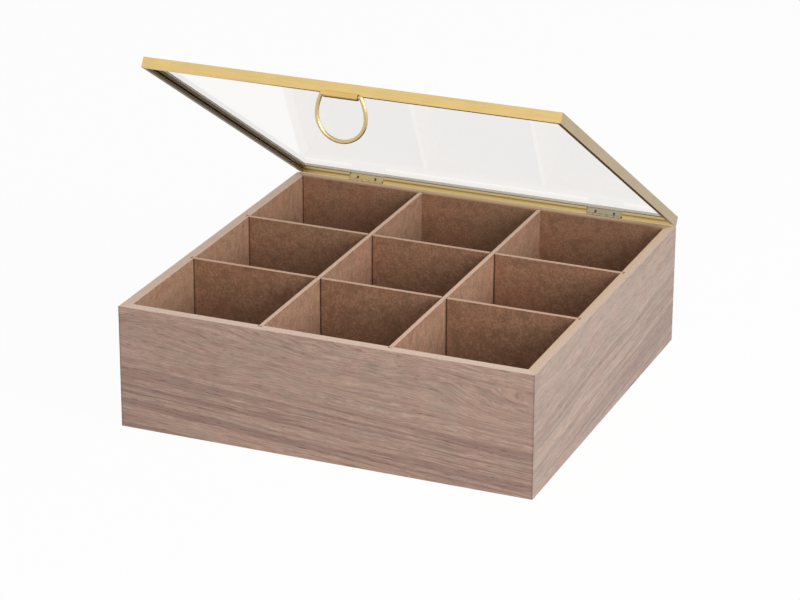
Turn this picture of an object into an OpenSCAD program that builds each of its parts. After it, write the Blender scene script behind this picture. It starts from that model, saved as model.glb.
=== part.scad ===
// Divided wooden keeper box with a glazed brass lid on two butt hinges and a swinging ring pull.
// Millimetres. X runs along the front, Y from the front to the back, Z up.
// The origin is the centre of the box's underside, and the lid is drawn part open.

/* [Box] */
// Outside width of the box, along the front
box_w = 240; // [200:1:300]
// Outside depth of the box, front to back
box_d = 235; // [200:1:300]
// Outside height of the box
box_h = 70.8; // [50:0.2:110]
// Thickness of a wall, veneer included
wall_t = 6; // [5:0.5:9]
// Thickness of the veneer on the outside of the walls
veneer_t = 0.6; // [0.4:0.1:0.8]
// Radius of the rubbed-down top edges of walls and dividers
ease = 0.25; // [0.1:0.05:0.4]

/* [Base panel] */
// Thickness of the base panel
base_t = 3; // [2:0.5:5]
// Depth of the rebate in the walls' lower edges that holds the base panel
base_rebate = 2.5; // [1.5:0.5:3]

/* [Dividers] */
// Thickness of a divider
divider_t = 2.5; // [2:0.1:4]
// Clear width of the left and the right column of compartments
side_column_w = 75.25; // [60:0.25:80]
// Clear depth of the front and the rear row of compartments
end_row_d = 73.75; // [60:0.25:80]
// How far a divider's end reaches into its wall
tenon = 1.3; // [0.8:0.1:1.6]
// Depth of the groove in the wall for a divider's end
divider_groove = 2; // [2:0.1:3]
// Gap on each side of a divider in a cross-lap slot
lap_gap = 0.4; // [0.1:0.05:0.5]

/* [Lid frame] */
// Opening angle of the lid as drawn, from closed
lid_open = 31.75; // [0:0.25:89]
// How far each side of the lid frame lies in from the side of the box
lid_inset = 1; // [0:0.5:3]
// How far the lid frame stands out past the front of the box
lid_overhang = 3; // [2:0.5:8]
// Height of the frame's strip
strip_h = 5.9; // [5.5:0.1:9]
// Thickness of the frame's strip
strip_t = 1.4; // [1:0.1:2]
// Height of the lower lip inside the frame
lip_h = 1.3; // [0.6:0.1:1.4]
// How far the lower lip stands in from the strip
lip_reach = 0.8; // [0.4:0.1:1.2]
// Height of the groove between the lip and the glazing ledge
reed_h = 1.1; // [0.6:0.1:1.3]
// How far the glazing ledge stands in from the strip
ledge_reach = 1.4; // [1:0.1:2]
// Thickness of the glass
glass_t = 1.7; // [1.5:0.1:2]
// Gap between the closed lid and the rim
lid_gap = 0.2; // [0.2:0.05:0.6]

/* [Hinges] */
// Distance from a side of the box to the middle of the hinge near it
hinge_inset = 44.5; // [30:0.5:60]
// Length of a hinge
hinge_l = 21.5; // [15:0.5:30]
// Number of knuckles on a hinge
knuckles = 5; // [3:2:7]
// Radius of a hinge knuckle
knuckle_r = 1.05; // [1:0.05:1.25]
// Radius of a hinge pin
pin_r = 0.6; // [0.5:0.05:0.65]
// Thickness of a hinge leaf
leaf_t = 0.7; // [0.5:0.05:0.8]
// Height of the leaf on the wall, below the pin
wall_leaf_h = 10; // [8:0.5:14]
// Distance of the pin behind the rear wall
pin_back = 0.6; // [0.6:0.05:1]
// Height of the pin above the rim, negative below it
pin_rise = -0.1; // [-0.2:0.05:0.2]
// Distance between the two screws of a leaf
screw_pitch = 11.4; // [8:0.2:14]
// Radius of a screw's head
screw_head_r = 0.85; // [0.7:0.05:0.9]
// Radius of a screw's shank
screw_r = 0.5; // [0.4:0.05:0.55]
// Length of a wood screw
wood_screw_l = 4.6; // [3.5:0.1:5]

/* [Ring pull] */
// Sideways place of the pull on the front rail
pull_x = -1.7; // [-40:0.1:40]
// Outside width of the ring
ring_w = 30; // [28:0.5:34]
// Drop of the ring below the sleeve's axis
ring_drop = 26.4; // [25:0.1:32]
// Distance from the ring's middle to each of its two upper bends
bend_x = 11.1; // [10.2:0.1:11.6]
// Radius of the ring's wire
wire_r = 1.1; // [0.9:0.05:1.2]
// Radius of the sleeve that holds the ring
sleeve_r = 1.8; // [1.75:0.05:2]
// End play of the ring in its sleeve, at each end
ring_play = 0.3; // [0.2:0.05:0.6]

/* [Hidden] */

$fn = 64;
// Gap round a part that is slid or pushed into a groove
fit_gap = 0.1;
// Gap between pieces that move past each other
run_gap = 0.3;
// Radial running gap round a pin or a wire
bore_gap = 0.05;
// How far a cutter runs past the face that it cuts
past = 1;

wood = "#b39a8c";
board = "#d8bda8";
brown = "#6b4c3c";
brass = "#d9b46a";
plated = "#a89f8a";

inner_w = box_w - 2 * wall_t;
inner_d = box_d - 2 * wall_t;
floor_z = base_t;
divider_h = box_h - floor_z;
half_lap_z = floor_z + divider_h / 2;
column_out = inner_w / 2 - side_column_w - divider_t / 2;
column_x = [-column_out, column_out];
row_out = inner_d / 2 - end_row_d - divider_t / 2;
row_y = [-row_out, row_out];

pin_y = box_d / 2 + pin_back;
pin_z = box_h + pin_rise;
hinge_x = [hinge_inset - box_w / 2, box_w / 2 - hinge_inset];
swing_r = knuckle_r + run_gap;
bore_r = pin_r + bore_gap;
knuckle_l = hinge_l / knuckles;

lid_z = box_h + lid_gap;
lid_w = box_w - 2 * lid_inset;
lid_back = pin_y + swing_r + strip_t;
lid_front = -box_d / 2 - lid_overhang;
lid_d = lid_back - lid_front;
ledge_top = strip_h - glass_t - fit_gap;
ledge_in = strip_t + ledge_reach;
lid_leaf_top = lid_z + ledge_top - 2 * fit_gap;

// Where the sleeve's axis lies, out from and below the frame's lower front corner
sleeve_out = 1.2;
sleeve_down = 1.1;
pull_y = lid_front - sleeve_out;
pull_z = lid_z - sleeve_down;
sleeve_tail_t = 0.5;
// Metal left between a lid leaf's knuckles and the heads of its screws
screw_clear = 0.2;

ring_half = ring_w / 2 - wire_r;
ring_centre = ring_drop - wire_r - ring_half;
// The wire swells a little where it is bent
bend_r = wire_r + 0.08;
side_in = ring_half - bend_x;
side_r = (side_in * side_in + ring_centre * ring_centre) / (2 * side_in);
side_turn = 2 * atan2(side_in, ring_centre);
sleeve_l = 2 * (bend_x - bend_r - ring_play);

// ---- Shared forms ----

// A bar of the children's cross-section along X, mitred at both ends. The outer face is at y = 0.
module mitred_bar(length, reach, height) {
    intersection() {
        rotate([90, 0, 90])
            linear_extrude(length, center = true)
                children();
        linear_extrude(height)
            polygon([[-length / 2, 0], [length / 2, 0],
                     [length / 2 - reach, reach], [reach - length / 2, reach]]);
    }
}

// Puts a bar drawn at y = 0 on one side of a rectangle.
module on_front(depth) {
    translate([0, -depth / 2, 0])
        children();
}

module on_rear(depth) {
    mirror([0, 1, 0])
        on_front(depth)
            children();
}

module on_left(width) {
    rotate([0, 0, -90])
        on_front(width)
            children();
}

module on_right(width) {
    rotate([0, 0, 90])
        on_front(width)
            children();
}

// Turns what is drawn closed about the hinge pins to the lid's drawn angle.
module opened() {
    translate([0, pin_y, pin_z])
        rotate([-lid_open, 0, 0])
            translate([0, -pin_y, -pin_z])
                children();
}

// A cylinder along X, centred on the origin.
module bar_x(r, length) {
    rotate([0, 90, 0])
        cylinder(r = r, h = length, center = true);
}

// ---- Walls, veneers and base ----

// An upright strip with its two top corners rubbed round.
module eased_strip(thickness, height) {
    square([thickness, height - ease]);
    translate([ease, 0])
        square([thickness - 2 * ease, height]);
    for (u = [ease, thickness - ease])
        translate([u, height - ease])
            circle(r = ease);
}

module wall_profile() {
    difference() {
        intersection() {
            eased_strip(wall_t, box_h);
            translate([veneer_t, 0])
                square([wall_t, box_h]);
        }
        translate([wall_t - base_rebate, -past])
            square([base_rebate + past, past + base_t + fit_gap]);
    }
}

module veneer_profile() {
    intersection() {
        eased_strip(wall_t, box_h);
        square([veneer_t, box_h]);
    }
}

// A wall board with upright grooves for divider ends at the given places along it.
module wall(length, grooves) {
    groove_w = divider_t + 2 * fit_gap;
    difference() {
        mitred_bar(length, wall_t, box_h)
            wall_profile();
        for (x = grooves)
            translate([x - groove_w / 2, wall_t - divider_groove, floor_z])
                cube([groove_w, divider_groove + past, divider_h + past]);
    }
}

module veneer(length) {
    mitred_bar(length, veneer_t, box_h)
        veneer_profile();
}

// Mortises in the rear wall for the hinge leaves, and the hollow that the knuckles turn in.
module hinge_mortises() {
    for (x = hinge_x)
        translate([x, pin_y, pin_z]) {
            translate([-hinge_l / 2 - fit_gap, -knuckle_r, -wall_leaf_h - fit_gap])
                cube([hinge_l + 2 * fit_gap, knuckle_r + past, wall_leaf_h + past]);
            bar_x(swing_r, hinge_l + 2 * fit_gap);
        }
}

// Holes for the wood screws of the wall leaves, as wide as their shanks.
module wall_screw_holes() {
    for (x = hinge_x)
        wall_screw_places(x)
            cylinder(r = screw_r, h = wood_screw_l);
}

module front_wall() {
    color(board)
        on_front(box_d)
            wall(box_w, column_x);
}

module rear_wall() {
    color(board)
        difference() {
            on_rear(box_d)
                wall(box_w, column_x);
            hinge_mortises();
            wall_screw_holes();
        }
}

module left_wall() {
    color(board)
        on_left(box_w)
            wall(box_d, row_y);
}

module right_wall() {
    color(board)
        on_right(box_w)
            wall(box_d, row_y);
}

module front_veneer() {
    color(wood)
        on_front(box_d)
            veneer(box_w);
}

module rear_veneer() {
    color(wood)
        difference() {
            on_rear(box_d)
                veneer(box_w);
            hinge_mortises();
            wall_screw_holes();
        }
}

module left_veneer() {
    color(wood)
        on_left(box_w)
            veneer(box_d);
}

module right_veneer() {
    color(wood)
        on_right(box_w)
            veneer(box_d);
}

module base_panel() {
    bite = 2 * (base_rebate - fit_gap);
    color(brown)
        translate([-(inner_w + bite) / 2, -(inner_d + bite) / 2, 0])
            cube([inner_w + bite, inner_d + bite, base_t]);
}

// ---- Dividers: an egg crate of four half-lapped strips ----

// A divider along X with slots at the given places, open from below or from above.
module divider(length, slots, from_top) {
    slot_w = divider_t + 2 * lap_gap;
    slot_z = from_top ? half_lap_z - lap_gap : floor_z - past;
    slot_h = divider_h / 2 + lap_gap + past;
    difference() {
        translate([0, -divider_t / 2, floor_z])
            rotate([90, 0, 90])
                linear_extrude(length, center = true)
                    eased_strip(divider_t, divider_h);
        for (x = slots)
            translate([x - slot_w / 2, -divider_t / 2 - past, slot_z])
                cube([slot_w, divider_t + 2 * past, slot_h]);
    }
}

module long_divider(x) {
    color(brown)
        translate([x, 0, 0])
            rotate([0, 0, 90])
                divider(inner_d + 2 * tenon, row_y, false);
}

module cross_divider(y) {
    color(brown)
        translate([0, y, 0])
            divider(inner_w + 2 * tenon, column_x, true);
}

module divider_long_left() {
    long_divider(column_x[0]);
}

module divider_long_right() {
    long_divider(column_x[1]);
}

module divider_cross_front() {
    cross_divider(row_y[0]);
}

module divider_cross_rear() {
    cross_divider(row_y[1]);
}

// ---- Lid frame and glass ----

// Cross-section of a frame rail: a tall strip with a lip, a reeded groove and a glazing ledge inside.
module rail_profile() {
    ledge_z = lip_h + reed_h;
    square([strip_t, strip_h]);
    square([strip_t + lip_reach, lip_h]);
    translate([0, ledge_z])
        square([ledge_in, ledge_top - ledge_z]);
}

module rail(length) {
    translate([0, 0, lid_z])
        mitred_bar(length, ledge_in, strip_h)
            rail_profile();
}

// Centres on the lid frame's middle what is drawn about y = 0.
module on_lid() {
    opened()
        translate([0, (lid_front + lid_back) / 2, 0])
            children();
}

// Room for a lid leaf through the lip and the ledge of the rear rail.
module lid_leaf_notches() {
    for (x = hinge_x)
        translate([x - hinge_l / 2 - run_gap, pin_y - past, lid_z - past])
            cube([hinge_l + 2 * run_gap, swing_r + past, ledge_top + past]);
}

// Holes for the lid leaves' screws, as wide as their shanks.
module lid_screw_holes() {
    for (x = hinge_x)
        lid_screw_places(x)
            cylinder(r = screw_r, h = lid_screw_l);
}

module lid_front_rail() {
    color(brass)
        on_lid()
            on_front(lid_d)
                rail(lid_w);
}

module lid_rear_rail() {
    color(brass)
        opened()
            difference() {
                translate([0, (lid_front + lid_back) / 2, 0])
                    on_rear(lid_d)
                        rail(lid_w);
                lid_leaf_notches();
                lid_screw_holes();
            }
}

module lid_left_rail() {
    color(brass)
        on_lid()
            on_left(lid_w)
                rail(lid_d);
}

module lid_right_rail() {
    color(brass)
        on_lid()
            on_right(lid_w)
                rail(lid_d);
}

module glass_pane() {
    pane_w = lid_w - 2 * (strip_t + fit_gap);
    pane_d = lid_d - 2 * (strip_t + fit_gap);
    color("#e8f0ee", 0.35)
        on_lid()
            translate([-pane_w / 2, -pane_d / 2, lid_z + ledge_top])
                cube([pane_w, pane_d, glass_t]);
}

// ---- Hinges ----

// The knuckles of one leaf: every second length along the pin, from the first or the second.
module own_knuckles(first) {
    gap = run_gap / 2;
    for (i = [first : 2 : knuckles - 1])
        translate([-hinge_l / 2 + i * knuckle_l + gap, 0, 0])
            children();
}

// The leaf's own rolled knuckles, and clear room round the other leaf's.
module leaf(first) {
    gap = run_gap / 2;
    difference() {
        union() {
            difference() {
                children();
                own_knuckles(1 - first)
                    translate([-2 * gap, 0, 0])
                        rotate([0, 90, 0])
                            cylinder(r = swing_r, h = knuckle_l + 2 * gap);
            }
            own_knuckles(first)
                rotate([0, 90, 0])
                    cylinder(r = knuckle_r, h = knuckle_l - 2 * gap);
        }
        bar_x(first == 0 ? pin_r : bore_r, hinge_l + 2 * past);
    }
}

// Places and turns a screw, drawn with its head at z = 0 and its shank up along +Z.
module wall_screw_places(x) {
    for (side = [-1, 1])
        translate([x + side * screw_pitch / 2, pin_y - knuckle_r + leaf_t, pin_z - 0.65 * wall_leaf_h])
            rotate([90, 0, 0])
                children();
}

module lid_screw_places(x) {
    screw_z = pin_z + knuckle_r + screw_head_r + screw_clear;
    for (side = [-1, 1])
        translate([x + side * screw_pitch / 2, pin_y + swing_r - leaf_t, screw_z])
            rotate([-90, 0, 0])
                children();
}

lid_screw_l = leaf_t + strip_t;
sink = screw_head_r - screw_r;

// A countersunk screw with a slot in its head.
module screw(length) {
    slot_w = 0.3;
    slot_deep = 0.2;
    difference() {
        union() {
            cylinder(r1 = screw_head_r, r2 = screw_r, h = sink);
            cylinder(r = screw_r, h = length);
        }
        translate([-screw_head_r - past, -slot_w / 2, -past])
            cube([2 * (screw_head_r + past), slot_w, past + slot_deep]);
    }
}

// The hole that a leaf has for a countersunk screw.
module countersink() {
    translate([0, 0, -past])
        cylinder(r = screw_r, h = leaf_t + 2 * past);
    cylinder(r1 = screw_head_r, r2 = screw_r, h = sink);
}

module wall_leaf(x) {
    color(plated)
        difference() {
            translate([x, pin_y, pin_z])
                leaf(0)
                    translate([-hinge_l / 2, -knuckle_r, -wall_leaf_h])
                        cube([hinge_l, leaf_t, wall_leaf_h]);
            wall_screw_places(x)
                countersink();
        }
}

module lid_leaf(x) {
    color(plated)
        opened()
            difference() {
                translate([x, pin_y, pin_z])
                    leaf(1)
                        translate([-hinge_l / 2, swing_r - leaf_t, 0])
                            cube([hinge_l, leaf_t, lid_leaf_top - pin_z]);
                lid_screw_places(x)
                    countersink();
            }
}

module hinge_pin(x) {
    color(plated)
        translate([x, pin_y, pin_z])
            bar_x(pin_r, hinge_l);
}

module hinge_left_wall_leaf() {
    wall_leaf(hinge_x[0]);
}

module hinge_right_wall_leaf() {
    wall_leaf(hinge_x[1]);
}

module hinge_left_lid_leaf() {
    lid_leaf(hinge_x[0]);
}

module hinge_right_lid_leaf() {
    lid_leaf(hinge_x[1]);
}

module hinge_left_pin() {
    hinge_pin(hinge_x[0]);
}

module hinge_right_pin() {
    hinge_pin(hinge_x[1]);
}

module hinge_wall_screws() {
    color(plated)
        for (x = hinge_x)
            wall_screw_places(x)
                screw(wood_screw_l);
}

module hinge_lid_screws() {
    color(plated)
        opened()
            for (x = hinge_x)
                lid_screw_places(x)
                    screw(lid_screw_l);
}

// ---- Ring pull ----

// A sleeve rolled round the ring's wire, its tail soldered under the front rail.
module pull_sleeve() {
    tail = sleeve_out + strip_t + lip_reach;
    color(brass)
        opened()
            difference() {
                translate([pull_x, pull_y, pull_z]) {
                    bar_x(sleeve_r, sleeve_l);
                    translate([-sleeve_l / 2, 0, sleeve_down - sleeve_tail_t])
                        cube([sleeve_l, tail, sleeve_tail_t]);
                }
                translate([pull_x, pull_y, pull_z])
                    bar_x(wire_r + bore_gap, sleeve_l + 2 * past);
                translate([pull_x - sleeve_l / 2 - past, lid_front, lid_z])
                    cube([sleeve_l + 2 * past, strip_h, strip_h]);
            }
}

// An arc of wire in the XZ plane, from one angle to another.
module wire_arc(centre, radius, from, to) {
    translate([centre[0], 0, centre[1]])
        rotate([90, 0, 0])
            rotate([0, 0, from])
                rotate_extrude(angle = to - from, $fn = 96)
                    translate([radius, 0])
                        circle(r = wire_r, $fn = 24);
}

// One side of the ring: a flat curve up from the widest level to the bend at the sleeve.
module ring_side() {
    wire_arc([ring_half - side_r, -ring_centre], side_r, 0, side_turn);
    translate([bend_x, 0, 0])
        sphere(r = bend_r, $fn = 48);
}

// The ring hangs straight down from the sleeve's axis, wherever the lid has carried that.
module pull_ring() {
    arm_y = pull_y - pin_y;
    arm_z = pull_z - pin_z;
    color(brass)
        translate([pull_x,
                   pin_y + arm_y * cos(lid_open) + arm_z * sin(lid_open),
                   pin_z - arm_y * sin(lid_open) + arm_z * cos(lid_open)]) {
            wire_arc([0, -ring_centre], ring_half, -180, 0);
            ring_side();
            mirror([1, 0, 0])
                ring_side();
            bar_x(wire_r, 2 * bend_x, $fn = 24);
        }
}

front_wall();
rear_wall();
left_wall();
right_wall();
front_veneer();
rear_veneer();
left_veneer();
right_veneer();
base_panel();
divider_long_left();
divider_long_right();
divider_cross_front();
divider_cross_rear();
lid_front_rail();
lid_rear_rail();
lid_left_rail();
lid_right_rail();
glass_pane();
hinge_left_wall_leaf();
hinge_right_wall_leaf();
hinge_left_lid_leaf();
hinge_right_lid_leaf();
hinge_left_pin();
hinge_right_pin();
hinge_wall_screws();
hinge_lid_screws();
pull_sleeve();
pull_ring();
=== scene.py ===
"""The looks of the divided keeper box: veneered walls, stained dividers, brass lid frame and glass.

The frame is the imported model's, in metres: X along the front, Y from front to back, Z up from the
table. Materials work in millimetres, and colours are written as sRGB, 0 to 255.
"""

import math

import bpy
from mathutils import Matrix, Vector


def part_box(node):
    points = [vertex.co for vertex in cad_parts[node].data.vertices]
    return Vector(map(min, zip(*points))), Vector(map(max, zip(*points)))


MM = 0.001
X_AXIS, Y_AXIS, Z_AXIS = 0, 1, 2
WHITE = (1, 1, 1, 1)

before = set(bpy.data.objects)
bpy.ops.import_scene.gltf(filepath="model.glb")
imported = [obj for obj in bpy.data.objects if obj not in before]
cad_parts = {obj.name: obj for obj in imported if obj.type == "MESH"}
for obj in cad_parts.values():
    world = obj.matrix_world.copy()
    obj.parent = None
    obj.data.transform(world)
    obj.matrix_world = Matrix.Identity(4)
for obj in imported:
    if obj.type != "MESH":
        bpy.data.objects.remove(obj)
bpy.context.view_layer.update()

BOX_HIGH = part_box("rear_veneer")[1]
HALF_W, HALF_D = BOX_HIGH.x / MM, BOX_HIGH.y / MM
PIN = sum(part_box("hinge_left_pin"), Vector()) / 2
LID_OPEN = math.radians(31.75)
LID_Z = BOX_HIGH.z / MM + 0.2


# ---- Node graph helper ----


class Graph:
    """A material's node graph, built by calls that return sockets."""

    def __init__(self, name):
        self.material = bpy.data.materials.new(name)
        self.material.use_nodes = True
        self.tree = self.material.node_tree
        self.tree.nodes.clear()
        self.output = self.tree.nodes.new("ShaderNodeOutputMaterial")

    def feed(self, socket, value):
        """Links a socket, or sets a plain value, on an input."""
        if isinstance(value, bpy.types.NodeSocket):
            self.tree.links.new(value, socket)
        elif value is not None:
            socket.default_value = value

    def add(self, kind, inputs=(), out=0, **settings):
        """A node with its settings and inputs. Returns one of its outputs."""
        node = self.tree.nodes.new(kind)
        for key, value in settings.items():
            setattr(node, key, value)
        for key, value in dict(inputs).items():
            self.feed(node.inputs[key], value)
        return node.outputs[out]

    def math(self, operation, *values):
        return self.add("ShaderNodeMath", enumerate(values), operation=operation)

    def plus(self, a, b):
        return self.math("ADD", a, b)

    def minus(self, a, b):
        return self.math("SUBTRACT", a, b)

    def times(self, a, b):
        return self.math("MULTIPLY", a, b)

    def scale_add(self, value, factor, offset):
        return self.math("MULTIPLY_ADD", value, factor, offset)

    def distance(self, a, b):
        return self.math("ABSOLUTE", self.minus(a, b))

    def combine(self, x, y, z=0.0):
        return self.add("ShaderNodeCombineXYZ", {"X": x, "Y": y, "Z": z})

    def split(self, vector):
        node = self.tree.nodes.new("ShaderNodeSeparateXYZ")
        self.feed(node.inputs[0], vector)
        return node.outputs

    def place(self):
        """Object coordinates in mm, as three sockets. A CAD node's object sits at the origin."""
        coordinates = self.add("ShaderNodeTexCoord", out="Object")
        scaled = self.add(
            "ShaderNodeVectorMath", {0: coordinates, "Scale": 1 / MM}, operation="SCALE"
        )
        return self.split(scaled)

    def normal(self, kind="Normal"):
        return self.split(self.add("ShaderNodeNewGeometry", out=kind))

    def noise(self, vector, detail=2.0, roughness=0.5):
        """Noise at the vector's own scale, about 0.5."""
        return self.add(
            "ShaderNodeTexNoise",
            {"Vector": vector, "Scale": 1.0, "Detail": detail, "Roughness": roughness},
            out="Fac",
        )

    def stretched_noise(self, place, scales, detail=2.0, roughness=0.5):
        """Noise with its own scale, per mm, on each axis."""
        scaled = [self.times(part, scale) for part, scale in zip(place, scales)]
        return self.noise(self.combine(*scaled), detail, roughness)

    def ramp(self, value, low, high, to_low=0.0, to_high=1.0, smooth=True):
        """The value from low..high to to_low..to_high, clamped."""
        return self.add(
            "ShaderNodeMapRange",
            {
                "Value": value,
                "From Min": low,
                "From Max": high,
                "To Min": to_low,
                "To Max": to_high,
            },
            interpolation_type="SMOOTHSTEP" if smooth else "LINEAR",
        )

    def mix(self, factor, a, b, most=None):
        """Colour a, with colour b over it by the factor, times 'most' where that is given."""
        if most is not None:
            factor = self.times(factor, most)
        node = self.tree.nodes.new("ShaderNodeMix")
        node.data_type = "RGBA"
        self.feed(node.inputs[0], factor)
        self.feed(node.inputs[6], a if isinstance(a, bpy.types.NodeSocket) else rgba(a))
        self.feed(node.inputs[7], b if isinstance(b, bpy.types.NodeSocket) else rgba(b))
        return node.outputs[2]

    def bump(self, height, depth, strength):
        """A bump of the height socket's 0..1 over a depth in mm."""
        return self.add(
            "ShaderNodeBump", {"Height": height, "Distance": depth * MM, "Strength": strength}
        )

    def principled(self, **inputs):
        named = {key.replace("_", " "): value for key, value in inputs.items()}
        return self.add("ShaderNodeBsdfPrincipled", named)

    def finish(self, shader):
        self.tree.links.new(shader, self.output.inputs["Surface"])
        return self.material


def rgba(colour):
    """An sRGB colour, 0 to 255, as linear RGBA."""
    linear = [((c / 255 + 0.055) / 1.055) ** 2.4 if c > 10 else c / 255 / 12.92 for c in colour]
    return (*linear, 1.0)


def tint(colour, *factors):
    """A colour times one factor, or times one factor for each channel."""
    if len(factors) == 1:
        factors *= 3
    return tuple(min(255, c * factor) for c, factor in zip(colour, factors))


# The part of a face's normal along Z, for up and down, and along X: where the face starts to
# count as facing that way, and where it counts fully.
FACING_UP, FACING_DOWN, FACING_ALONG = (0.6, 0.95), (0.15, -0.75), (0.75, 0.95)


def up_facing(g):
    """1 on faces that look up, 0 on upright ones."""
    return g.ramp(g.normal("True Normal")[2], *FACING_UP)


# ---- Veneer ----

# Sway of the lines, and how much less of it there is in the low bands; their small ripple. In mm.
SWAY, SWAY_LESS, RIPPLE = 12.0, 7.0, 1.2
# Scale of the sway, the ripple and the mottle, per mm, along the sheet and up it.
SWAY_SCALE, RIPPLE_SCALE, MOTTLE_SCALE = (0.012, 0.035), (0.07, 0.16), (0.05, 0.12)
# The plain grain gives way to the low bands between these heights over and under their limit.
BAND_FADE_OVER, BAND_FADE_UNDER = 14.0, 12.0
# How far, in mm, the dark of a corner reaches, and where it is full.
CORNER_SOFT, CORNER_FULL = 1.0, 0.5
# Contrast of the wood's own tone.
TONE_SPREAD = 0.13
# Share of dark wood: of the bands and the thin lines in plain grain, and what the low part adds;
# of the pores in light wood, and what a band adds.
BAND_SHARE, THIN_SHARE, PORE_SHARE = (0.12, 0.46), (0.36, 0.20), (0.36, 0.30)
SPECK_SHARE, CORNER_SHARE = 0.40, 0.35
VENEER_ROUGHNESS, VENEER_RELIEF = 0.55, 0.05
# Layers of noise that follow the lines: scale across them and along them, per mm, detail,
# roughness, shift of the seed, and the range that becomes 0 to 1.
VENEER_LAYERS = {
    "wide": (0.09, 0.004, 2.0, 0.5, 0.0, 0.32, 0.68),
    "bands": (0.40, 0.006, 1.0, 0.5, 4.0, 0.47, 0.62),
    "thin": (0.95, 0.020, 2.0, 0.6, 8.0, 0.50, 0.66),
    "hair": (1.7, 0.09, 3.0, 0.65, 0.0, 0.34, 0.66),
    "pores": (1.5, 0.12, 2.0, 0.6, 2.0, 0.58, 0.67),
    "specks": (2.3, 0.34, 2.0, 0.6, 6.0, 0.58, 0.70),
}


def eye(g, along, up, centre, reach):
    """A cone, 1 at its centre and 0 at its reach, round which the grain bends."""
    u = g.math("DIVIDE", g.minus(along, centre[0]), reach[0])
    v = g.math("DIVIDE", g.minus(up, centre[1]), reach[1])
    away = g.math("SQRT", g.plus(g.times(u, u), g.times(v, v)))
    return g.ramp(away, 0.0, 1.0, 1.0, 0.0, smooth=False)


def veneer_material(
    name, along_axis, seed, colour, slope, eyes, banded_below, contrast, corner, top
):
    """Flat-cut, open-grained veneer.

    Its lines run along one axis, climb by the slope and bend round eyes, each a centre, a reach
    and a height in mm. Below the height banded_below they are straighter and lie in dark bands.
    The wood darkens at its corners, which are the distance 'corner' from the middle, and 'top'
    is the colour of the sheet's upper edge.
    """
    g = Graph(name)
    place = g.place()
    along, up = place[along_axis], place[2]
    low = g.ramp(up, banded_below + BAND_FADE_OVER, banded_below - BAND_FADE_UNDER)

    def cloud(scale_along, scale_up):
        return g.noise(g.combine(g.scale_add(along, scale_along, seed), g.times(up, scale_up)))

    sway = g.times(g.minus(cloud(*SWAY_SCALE), 0.5), g.scale_add(low, -SWAY_LESS, SWAY))
    ripple = cloud(*RIPPLE_SCALE)
    # The height at which each point's line would lie if the grain were straight and level.
    line = g.plus(up, g.plus(sway, g.times(along, slope)))
    line = g.plus(line, g.times(ripple, RIPPLE))
    for centre, reach, height in eyes:
        line = g.plus(line, g.times(eye(g, along, up, centre, reach), height))

    def layer(across, lengthwise, detail, roughness, shift, start, end):
        vector = g.combine(g.times(line, across), g.times(along, lengthwise), seed + shift)
        return g.ramp(g.noise(vector, detail, roughness), start, end)

    layers = {key: layer(*settings) for key, settings in VENEER_LAYERS.items()}
    patches = [g.times(part, scale) for part, scale in zip((along, up), MOTTLE_SCALE)]
    mottle = g.noise(g.combine(*patches, seed), 3.0, 0.6)

    spread = TONE_SPREAD * contrast
    tone = g.scale_add(layers["wide"], 0.30, g.times(layers["hair"], 0.70))
    light = tint(colour, 1.0 + spread * 0.9, 1.0 + spread * 1.1, 1.0 + spread)
    mixed = g.mix(tone, tint(colour, 1.0 - spread), light)
    greyer, pinker = tint(colour, 0.93, 1.01, 1.01), tint(colour, 1.0, 0.94, 0.93)
    mixed = g.mix(g.ramp(mottle, 0.48, 0.66), mixed, greyer, most=0.5)
    mixed = g.mix(g.ramp(mottle, 0.48, 0.36), mixed, pinker, most=0.25)

    def share(where, least_and_more):
        least, more = least_and_more
        return g.scale_add(where, more * contrast, least * contrast)

    # The low part of the sheet has far more of the bands, and more of the thin dark lines.
    dark = tint(colour, 0.75, 0.70, 0.715)
    mixed = g.mix(layers["bands"], mixed, dark, most=share(low, BAND_SHARE))
    mixed = g.mix(layers["thin"], mixed, dark, most=share(low, THIN_SHARE))

    # Pores are darkest in the bands, and short specks lie everywhere.
    pore_share = share(layers["bands"], PORE_SHARE)
    mixed = g.mix(layers["pores"], mixed, tint(colour, 0.55), most=pore_share)
    mixed = g.mix(layers["specks"], mixed, tint(colour, 0.66), most=SPECK_SHARE * contrast)

    edge = g.ramp(g.math("ABSOLUTE", along), corner - CORNER_SOFT, corner - CORNER_FULL)
    mixed = g.mix(edge, mixed, tint(colour, 0.52), most=CORNER_SHARE)
    mixed = g.mix(up_facing(g), mixed, top)
    relief = g.minus(g.times(layers["hair"], 0.4), layers["pores"])
    return g.finish(
        g.principled(
            Base_Color=mixed,
            Roughness=VENEER_ROUGHNESS,
            Normal=g.bump(relief, VENEER_RELIEF, 0.5),
        )
    )


# ---- Fibreboard ----

# Contrast of the board's specks.
SPECK = 0.10
# Half-width, in mm, of a dark joint line, painted shade in the joint, and of its full dark.
SLIT_SOFT, SLIT_FULL = 0.8, 0.3
# Share of the inner colour on a rim.
INNER_SHARE = 0.85
BOARD_ROUGHNESS, BOARD_SPECULAR, BOARD_RELIEF = 0.65, 0.12, 0.05


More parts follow.
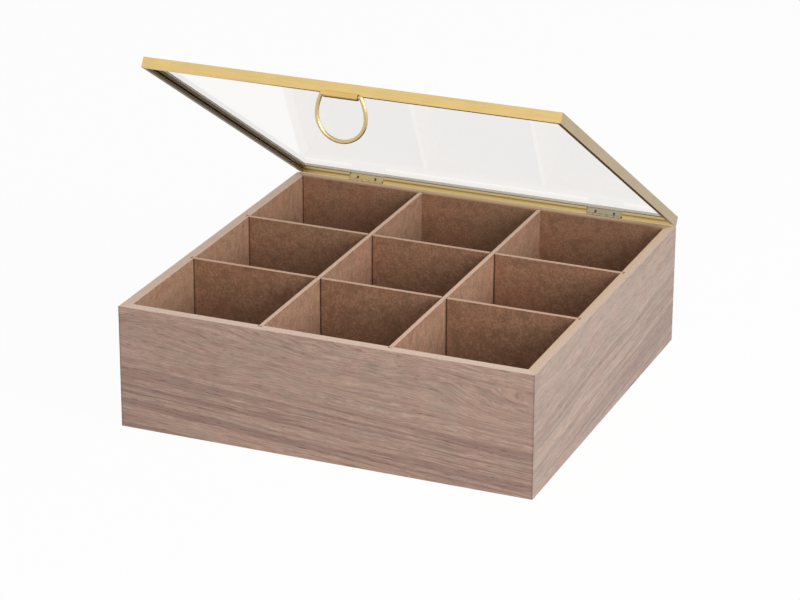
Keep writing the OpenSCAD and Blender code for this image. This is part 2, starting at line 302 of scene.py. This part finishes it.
def board_material(name, face, edge, inner_edge=None, shaded_slits=(), streaks=0.0):
    """Fibreboard stained brown on its faces, with pale top edges.

    inner_edge gives a wall's rim another colour towards the inside: the axis across the rim, the
    box's half size on it, where the colour starts and where it is full, in mm from the outside,
    and the colour, which on the rear wall is a painted shadow. Shaded slits are the places along X,
    in mm, where a dark joint line shows on the face, partly the joint and partly painted shade.
    """
    g = Graph(name)
    place = g.place()

    def cloud(size, detail=3.0, tall=1.0):
        sizes = (size, size, size * tall)
        scaled = [g.math("DIVIDE", part, extent) for part, extent in zip(place, sizes)]
        return g.noise(g.combine(*scaled), detail, 0.6)

    fine, coarse, slow, fibres = cloud(1.2), cloud(5.0, 4.0), cloud(26.0), cloud(1.8, 2.0, 11.0)
    brown = g.mix(g.ramp(fine, 0.34, 0.66), tint(face, 1.0 - SPECK), tint(face, 1.0 + SPECK))
    brown = g.mix(g.ramp(coarse, 0.44, 0.66), brown, tint(face, 1.0 - 1.9 * SPECK), most=0.60)
    olive, rust = tint(face, 0.95, 1.02, 0.94), tint(face, 1.05, 0.96, 0.95)
    brown = g.mix(g.ramp(slow, 0.50, 0.66), brown, olive, most=0.25)
    brown = g.mix(g.ramp(slow, 0.50, 0.34), brown, rust, most=0.3)
    brown = g.mix(g.ramp(fibres, 0.44, 0.7), brown, tint(face, 0.84), most=streaks)
    # Each slit is a dark line painted over the joint, wider than its gap: partly the joint, partly
    # painted shade.
    for slit in shaded_slits:
        shaded_joint = g.ramp(g.distance(place[0], slit), SLIT_SOFT, SLIT_FULL)
        brown = g.mix(shaded_joint, brown, tint(face, 0.32), most=0.75)

    pale = g.mix(g.ramp(fine, 0.3, 0.7), tint(edge, 0.96), tint(edge, 1.03))
    # On the rear wall the inner colour is a painted shadow.
    if inner_edge:
        axis, half_size, start, full, inner = inner_edge
        from_outside = g.minus(half_size, g.math("ABSOLUTE", place[axis]))
        pale = g.mix(g.ramp(from_outside, start, full), pale, inner, most=INNER_SHARE)
    pale = g.mix(g.ramp(coarse, 0.45, 0.7), pale, tint(edge, 0.92), most=0.25)

    return g.finish(
        g.principled(
            Base_Color=g.mix(up_facing(g), brown, pale),
            Roughness=BOARD_ROUGHNESS,
            Specular_IOR_Level=BOARD_SPECULAR,
            Normal=g.bump(fine, BOARD_RELIEF, 0.3),
        )
    )


# ---- Brass ----

# Scale of the brush lines, per mm, across them and along them, and of the slow patches.
BRUSH_ACROSS, BRUSH_ALONG, PATCH = 2.4, 0.05, 0.06
BRUSH_RELIEF = 0.008
# Heights over the lid's underside, in mm, between which one inner colour gives way to the next:
# lip to groove, groove to ledge, ledge to the painted shade line at the glass, and that line to the
# strip over it.
INSIDE_STEPS = ((1.25, 1.35), (2.35, 2.45), (3.60, 3.75), (4.08, 4.15))
# How far short of its depth, in mm, the outside colour starts to end, and has ended.
SKIN_SOFT, SKIN_END = 0.15, 0.02


def closed_place(g, place):
    """The place in mm, turned back about the hinge pins to where it lies on the closed lid."""
    turn_cos, turn_sin = math.cos(LID_OPEN), math.sin(LID_OPEN)
    pin_y, pin_z = PIN.y / MM, PIN.z / MM
    y, z = g.minus(place[1], pin_y), g.minus(place[2], pin_z)
    closed_y = g.plus(g.scale_add(y, turn_cos, pin_y), g.times(z, -turn_sin))
    closed_z = g.plus(g.scale_add(y, turn_sin, pin_z), g.times(z, turn_cos))
    return place[0], closed_y, closed_z


def brass_material(name, colour, along_axis, roughness, under_shade=0.0, ends_shadow=0.0, inside=None):
    """Brushed brass, its brush lines along one axis.

    Faces that look down darken with painted shade by the share 'under_shade', and faces that look
    along X with painted shadow by 'ends_shadow'. On a lid piece, 'inside' gives an axis, the rail's
    outer face on it, how deep the outside colour reaches from there, in mm, and the five colours
    beyond it, from the lip upwards, which are painted reflection and shade.
    """
    g = Graph(name)
    place = g.place()
    scales = [BRUSH_ACROSS] * 3
    scales[along_axis] = BRUSH_ALONG
    lines = g.stretched_noise(place, scales, 3.0, 0.6)
    patch = g.stretched_noise(place, [PATCH] * 3)
    tone = g.plus(g.times(lines, 0.55), g.times(patch, 0.45))
    base = g.mix(g.ramp(tone, 0.35, 0.65), tint(colour, 0.97), tint(colour, 1.02))
    # Painted shade on faces that look down.
    if under_shade:
        looks_down = g.ramp(g.normal()[2], *FACING_DOWN)
        base = g.mix(looks_down, base, tint(colour, 0.32), most=under_shade)
    # Painted shadow on faces that look along X, the sleeve's ends, standing for its dark bore.
    if ends_shadow:
        looks_along = g.ramp(g.math("ABSOLUTE", g.normal("True Normal")[0]), *FACING_ALONG)
        base = g.mix(looks_along, base, tint(colour, 0.2), most=ends_shadow)
    # Painted reflection and shade on a rail's inner faces, by height on the closed lid.
    if inside:
        axis, outer_face, skin, colours = inside
        closed = closed_place(g, place)
        height = g.minus(closed[2], LID_Z)
        depth = g.distance(closed[axis], outer_face)
        zones = colours[0]
        for (start, end), next_colour in zip(INSIDE_STEPS, colours[1:]):
            zones = g.mix(g.ramp(height, start, end), zones, next_colour)
        base = g.mix(g.ramp(depth, skin - SKIN_SOFT, skin - SKIN_END), base, zones)
    return g.finish(
        g.principled(
            Base_Color=base,
            Metallic=1.0,
            Roughness=g.ramp(lines, 0.3, 0.7, roughness - 0.05, roughness + 0.07),
            Normal=g.bump(lines, BRUSH_RELIEF, 0.12),
        )
    )


# ---- Glass ----

GLASS_CLEAR = (0.985, 0.979, 0.972, 1.0)
GLASS_IOR = 1.45
# Share of the mirror: straight on, and what Fresnel's 0 to 1 adds.
MIRROR_LEAST, MIRROR_MORE = 0.015, 0.30


def glass_material(name):
    """Clear coated glass. Light goes straight through, and only its front faces mirror, weakly."""
    g = Graph(name)
    smear = g.stretched_noise(g.place(), [0.02] * 3)
    clear = g.add("ShaderNodeBsdfTransparent", {"Color": GLASS_CLEAR})
    gloss = g.add(
        "ShaderNodeBsdfGlossy",
        {"Color": WHITE, "Roughness": g.ramp(smear, 0.3, 0.7, 0.03, 0.06)},
    )
    facing = g.add("ShaderNodeFresnel", {"IOR": GLASS_IOR})
    front = g.minus(1.0, g.add("ShaderNodeNewGeometry", out="Backfacing"))
    share = g.times(g.scale_add(facing, MIRROR_MORE, MIRROR_LEAST), front)
    return g.finish(g.add("ShaderNodeMixShader", {0: share, 1: clear, 2: gloss}))


# ---- Dressing the CAD nodes ----


def dress(node, material):
    """Gives a CAD node's object one material."""
    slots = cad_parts[node].material_slots
    if not slots:
        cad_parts[node].data.materials.append(material)
        return
    for slot in slots:
        slot.material = material


RIM = (243, 213, 192)
# The front wall's rim is the rim painted lighter, painted light; the rear wall's rim is painted
# darker, a painted shade.
RIM_FRONT_LIT = (252, 221, 201)
RIM_REAR_SHADED = (230, 195, 164)
RIM_RIGHT_INSIDE = (238, 207, 172)
# A painted shadow along the inside of the rear rim, where the lid's rear rail shades it.
RIM_REAR_INSIDE_SHADOW = (166, 129, 102)
RIM_LEFT_OUTSIDE = (226, 208, 194)
WALNUT = (176, 144, 129)
# The side sheets' walnut is the same wood painted darker: painted shade set for the light that
# falls on the sides.
WALNUT_SIDES_SHADED = (161, 137, 125)
# The crosswise and lengthwise faces are one stained board: faces that look along X are painted
# lighter and greyer, painted light, and the cross dividers' tops are painted darker, a painted
# shade.
CROSSWISE = (163, 123, 97)
CROSSWISE_EDGE_SHADED = (230, 193, 168)
LENGTHWISE_LIT = (168, 131, 108)
LENGTHWISE_EDGE = (243, 207, 184)
LENGTHWISE_STREAKS = 0.4
# A distance past every corner, for the sheet whose corners don't darken.
NO_CORNER = 999.0

# Side, axis of the lines, seed, colour, slope, eyes, limit of the bands, contrast, corner, top.
for side, *settings in (
    (
        "front", X_AXIS, 3.1, WALNUT, 0.065,
        [((-20.0, 54.0), (90.0, 16.0), 5.0), ((125.0, 47.0), (80.0, 14.0), 10.0)],
        34.0, 1.0, HALF_W, tint(RIM, 0.93),
    ),
    (
        "rear", X_AXIS, 9.4, WALNUT, -0.03,
        [((30.0, 44.0), (95.0, 18.0), 5.0)],
        30.0, 1.0, HALF_W, tint(RIM, 0.93),
    ),
    (
        "left", Y_AXIS, 14.2, WALNUT_SIDES_SHADED, 0.04,
        [((-60.0, 46.0), (85.0, 17.0), 5.0)],
        26.0, 0.8, HALF_D, RIM_LEFT_OUTSIDE,
    ),
    (
        "right", Y_AXIS, 21.7, WALNUT_SIDES_SHADED, -0.05,
        [],
        40.0, 0.8, NO_CORNER, tint(RIM, 0.91),
    ),
):
    dress(side + "_veneer", veneer_material("veneer_" + side, *settings))

# Where the compartments have their left ends, in mm along X.
LEFT_COLUMN, MIDDLE_COLUMN, RIGHT_COLUMN = -114.0, -36.25, 38.75
# How far inside those ends the painted shade lines of the joints lie, at a wall and at a divider.
WALL_SLIT_IN, DIVIDER_SLIT_IN = 0.2, 0.4
wall_shaded_slit = LEFT_COLUMN + WALL_SLIT_IN
cross_shaded_slits = (MIDDLE_COLUMN + DIVIDER_SLIT_IN, RIGHT_COLUMN + DIVIDER_SLIT_IN, wall_shaded_slit)
rear_rim_shadow = (Y_AXIS, HALF_D, 2.4, 5.4, RIM_REAR_INSIDE_SHADOW)
right_inner_edge = (X_AXIS, HALF_W, 2.2, 4.2, RIM_RIGHT_INSIDE)

# Name, the CAD nodes that wear it, face, edge, inner edge, shaded slits, streaks.
for name, nodes, *settings in (
    ("front_board", ["front_wall"], CROSSWISE, RIM_FRONT_LIT),
    ("rear_board", ["rear_wall"], CROSSWISE, RIM_REAR_SHADED, rear_rim_shadow, (wall_shaded_slit,)),
    ("left_board", ["left_wall"], LENGTHWISE_LIT, RIM, None, (), LENGTHWISE_STREAKS),
    ("right_board", ["right_wall"], LENGTHWISE_LIT, RIM, right_inner_edge, (), LENGTHWISE_STREAKS),
    (
        "crosswise_board", ["divider_cross_front", "divider_cross_rear"],
        CROSSWISE, CROSSWISE_EDGE_SHADED, None, cross_shaded_slits,
    ),
    (
        "lengthwise_board", ["divider_long_left", "divider_long_right"],
        LENGTHWISE_LIT, LENGTHWISE_EDGE, None, (), LENGTHWISE_STREAKS,
    ),
    ("base_board", ["base_panel"], CROSSWISE, CROSSWISE),
):
    board = board_material(name, *settings)
    for node in nodes:
        dress(node, board)

# The closed lid's outer faces, and how deep the outside colour reaches on its rails, in mm.
LID_EDGE_X, LID_FRONT, LID_BACK = 119.0, -120.5, 120.85
SKIN, THIN_SKIN = 1.4, 0.3
# Painted reflection and shade inside the rails, one set for the light each rail catches: lip,
# groove, ledge, a painted shade line at the glass and the strip over it, painted pale for the
# glass's reflection.
INSIDE_REFLECTION_BRIGHT = (
    (200, 174, 112), (182, 156, 102), (192, 172, 124), (104, 88, 60), (188, 182, 172)
)
INSIDE_REFLECTION_PALE = (
    (200, 180, 140), (190, 170, 130), (200, 185, 150), (190, 175, 145), (226, 222, 210)
)
INSIDE_REFLECTION_DARK = (
    (86, 68, 39), (112, 90, 54), (84, 66, 38), (88, 74, 50), (160, 152, 136)
)
front_inside = (Y_AXIS, LID_FRONT, SKIN, INSIDE_REFLECTION_BRIGHT)
rear_inside = (Y_AXIS, LID_BACK, SKIN, INSIDE_REFLECTION_BRIGHT)
left_inside = (X_AXIS, -LID_EDGE_X, THIN_SKIN, INSIDE_REFLECTION_DARK)
right_inside = (X_AXIS, LID_EDGE_X, SKIN, INSIDE_REFLECTION_PALE)
# Each rail is one brass painted with the light it catches: the front brightest, the rear and left
# darker, the right darker and greyer; painted reflection.
for side, colour, axis, roughness, inside in (
    ("front", (223, 193, 129), X_AXIS, 0.36, front_inside),
    ("rear", (206, 176, 114), X_AXIS, 0.36, rear_inside),
    ("left", (206, 180, 124), Y_AXIS, 0.36, left_inside),
    ("right", (184, 164, 129), Y_AXIS, 0.40, right_inside),
):
    brass = brass_material("brass_" + side, colour, axis, roughness, inside=inside)
    dress("lid_" + side + "_rail", brass)
# The sleeve's underside and ends, and the ring's underside, take painted shade.
dress("pull_sleeve", brass_material("brass_sleeve", (222, 188, 116), X_AXIS, 0.32, 0.9, 0.9))
dress("pull_ring", brass_material("brass_ring", (214, 188, 138), Z_AXIS, 0.30, 0.6))

# The hinges are plated. What of them lies at the glass or over it is in the rail's shade.
HINGE_SHADE = (112, 94, 66)
# The two hinges are one plating painted with different reflections: the left more golden, the right
# greyer.
for side, colour in (("left", (184, 166, 120)), ("right", (162, 153, 128))):
    inside = (Y_AXIS, LID_BACK, SKIN, (colour, colour, colour, HINGE_SHADE, HINGE_SHADE))
    plating = brass_material("hinge_plating_" + side, colour, X_AXIS, 0.35, inside=inside)
    for piece in ("wall_leaf", "lid_leaf", "pin"):
        dress("hinge_" + side + "_" + piece, plating)
screw_metal = brass_material("screw_plating", (84, 72, 52), X_AXIS, 0.40)
for node in ("hinge_wall_screws", "hinge_lid_screws"):
    dress(node, screw_metal)
dress("glass_pane", glass_material("clear_glass"))


# ---- Stage: floor, world and lamps ----

FLOOR_HALF = 4.0
FLOOR_MATT = (248, 248, 248)
# Share of plain white in the floor, as the camera, mirrors and glass see it.
FLOOR_WHITE = 0.96
# Strength of the world's light on the object. The camera and mirrors see plain white.
WORLD_LEVEL = 0.28
# Each lamp's place and power in watts. They are square, and aimed at the middle of the box.
LAMPS = {"key": ((2.0, -0.5, 0.9), 39.0), "front": ((0.9, -2.0, 0.9), 16.0)}
LAMP_SIZE = 1.2
LAMP_AIM = (0, 0, 0.05)


def build_floor():
    """A pale floor. It is mostly plain white, and the object's shadow stays on it."""
    mesh = bpy.data.meshes.new("floor")
    corners = [(x * FLOOR_HALF, y * FLOOR_HALF, 0) for x, y in ((-1, -1), (1, -1), (1, 1), (-1, 1))]
    mesh.from_pydata(corners, [], [(0, 1, 2, 3)])
    floor = bpy.data.objects.new("floor", mesh)
    bpy.context.scene.collection.objects.link(floor)
    g = Graph("floor_white")
    path = g.tree.nodes.new("ShaderNodeLightPath").outputs
    seen = g.math("MAXIMUM", path["Is Camera Ray"], path["Is Glossy Ray"])
    seen = g.math("MAXIMUM", seen, path["Is Transmission Ray"])
    matt = g.add("ShaderNodeBsdfDiffuse", {"Color": rgba(FLOOR_MATT)})
    white = g.add("ShaderNodeEmission", {"Color": WHITE, "Strength": 1.0})
    share = g.times(seen, FLOOR_WHITE)
    mesh.materials.append(g.finish(g.add("ShaderNodeMixShader", {0: share, 1: matt, 2: white})))


def build_world():
    """Soft even light, and plain white to the camera and in mirrors."""
    world = bpy.data.worlds.new("studio")
    bpy.context.scene.world = world
    world.use_nodes = True
    nodes, links = world.node_tree.nodes, world.node_tree.links
    nodes.clear()
    path = nodes.new("ShaderNodeLightPath")
    seen = nodes.new("ShaderNodeMath")
    seen.operation = "MAXIMUM"
    links.new(path.outputs["Is Camera Ray"], seen.inputs[0])
    links.new(path.outputs["Is Glossy Ray"], seen.inputs[1])
    mixed = nodes.new("ShaderNodeMixShader")
    links.new(seen.outputs[0], mixed.inputs[0])
    for index, strength in ((1, WORLD_LEVEL), (2, 1.0)):
        light = nodes.new("ShaderNodeBackground")
        light.inputs["Color"].default_value = WHITE
        light.inputs["Strength"].default_value = strength
        links.new(light.outputs[0], mixed.inputs[index])
    output = nodes.new("ShaderNodeOutputWorld")
    links.new(mixed.outputs[0], output.inputs["Surface"])


def add_lamp(name, place, power):
    lamp = bpy.data.lights.new(name, "AREA")
    lamp.shape = "SQUARE"
    lamp.size = LAMP_SIZE
    lamp.energy = power
    holder = bpy.data.objects.new(name, lamp)
    bpy.context.scene.collection.objects.link(holder)
    holder.location = place
    holder.rotation_euler = (Vector(LAMP_AIM) - Vector(place)).to_track_quat("-Z", "Y").to_euler()


# ---- Camera: the photograph's viewpoint ----

LENS, SENSOR_WIDTH = 139.48, 36.0
CAMERA_AT = Vector((614.32, -1492.41, 702.12)) * MM
YAW, PITCH, ROLL = (math.radians(a) for a in (22.499, 22.011, 0.23))


def build_camera():
    forward = Vector(
        (-math.sin(YAW) * math.cos(PITCH), math.cos(YAW) * math.cos(PITCH), -math.sin(PITCH))
    )
    level = Vector((math.cos(YAW), math.sin(YAW), 0.0))
    upright = level.cross(forward)
    right = math.cos(ROLL) * level + math.sin(ROLL) * upright
    up = -math.sin(ROLL) * level + math.cos(ROLL) * upright
    data = bpy.data.cameras.new("camera")
    data.lens = LENS
    data.sensor_width = SENSOR_WIDTH
    data.sensor_fit = "HORIZONTAL"
    camera = bpy.data.objects.new("camera", data)
    bpy.context.scene.collection.objects.link(camera)
    turn = Matrix((right, up, -forward)).transposed().to_4x4()
    camera.matrix_world = Matrix.Translation(CAMERA_AT) @ turn
    bpy.context.scene.camera = camera


build_floor()
build_world()
for name, (place, power) in LAMPS.items():
    add_lamp(name, place, power)
build_camera()
bpy.context.scene.view_settings.view_transform = "Standard"
